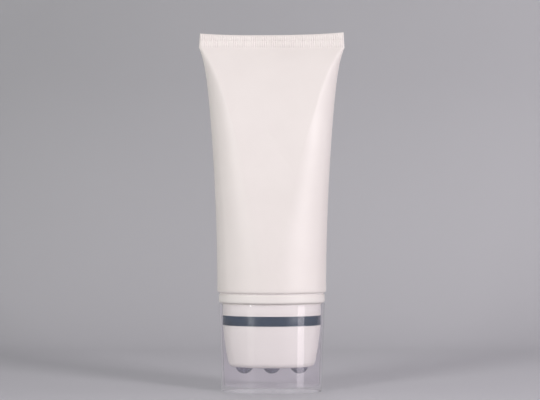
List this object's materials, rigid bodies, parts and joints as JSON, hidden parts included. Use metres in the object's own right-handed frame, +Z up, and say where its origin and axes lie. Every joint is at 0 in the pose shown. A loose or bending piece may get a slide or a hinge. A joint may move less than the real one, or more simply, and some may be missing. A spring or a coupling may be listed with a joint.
{
  "type": "oval cosmetic tube",
  "caption": "Oval squeeze tube with a crimped seal, a roller ball applicator head and a clear overcap, standing on the overcap.",
  "frame": {"origin": "centre of the overcap's flat underside, on which the tube stands", "axes": "+Z up along the tube towards its crimped seal, X along the long side of the oval, -Y towards the picture's camera"},
  "size_m": [0.0786, 0.0408, 0.1937],
  "materials": {
    "sleeve": "soft satin polyethylene film",
    "shoulder": "satin moulded",
    "head_base": "smooth moulded",
    "trim_band": "satin moulded",
    "head_shell": "smooth moulded",
    "ball_carrier": "satin moulded",
    "roller_balls": "polished steel",
    "cap": "clear polished"
  },
  "bodies": {
    "cap": {"cap": "cap"},
    "tube": {"sleeve": "sleeve", "shoulder": "shoulder", "head_base": "head_base", "trim_band": "trim_band", "head_shell": "head_shell", "ball_carrier": "ball_carrier"},
    "ball_left": {"roller_ball_left": "roller_balls"},
    "ball_centre": {"roller_ball_centre": "roller_balls"},
    "ball_right": {"roller_ball_right": "roller_balls"}
  },
  "joints": [
    {"name": "tube_lift", "type": "slide", "parent": "cap", "child": "tube", "axis": [0, 0, 1], "range_m": [0, 0.055]},
    {"name": "ball_roll_left", "type": "hinge", "parent": "tube", "child": "ball_left", "pos_m": [-0.0148, 0, 0.0146], "axis": [1, 0, 0], "continuous": true},
    {"name": "ball_roll_centre", "type": "hinge", "parent": "tube", "child": "ball_centre", "pos_m": [0, 0, 0.0146], "axis": [1, 0, 0], "continuous": true},
    {"name": "ball_roll_right", "type": "hinge", "parent": "tube", "child": "ball_right", "pos_m": [0.0148, 0, 0.0146], "axis": [1, 0, 0], "continuous": true}
  ]
}
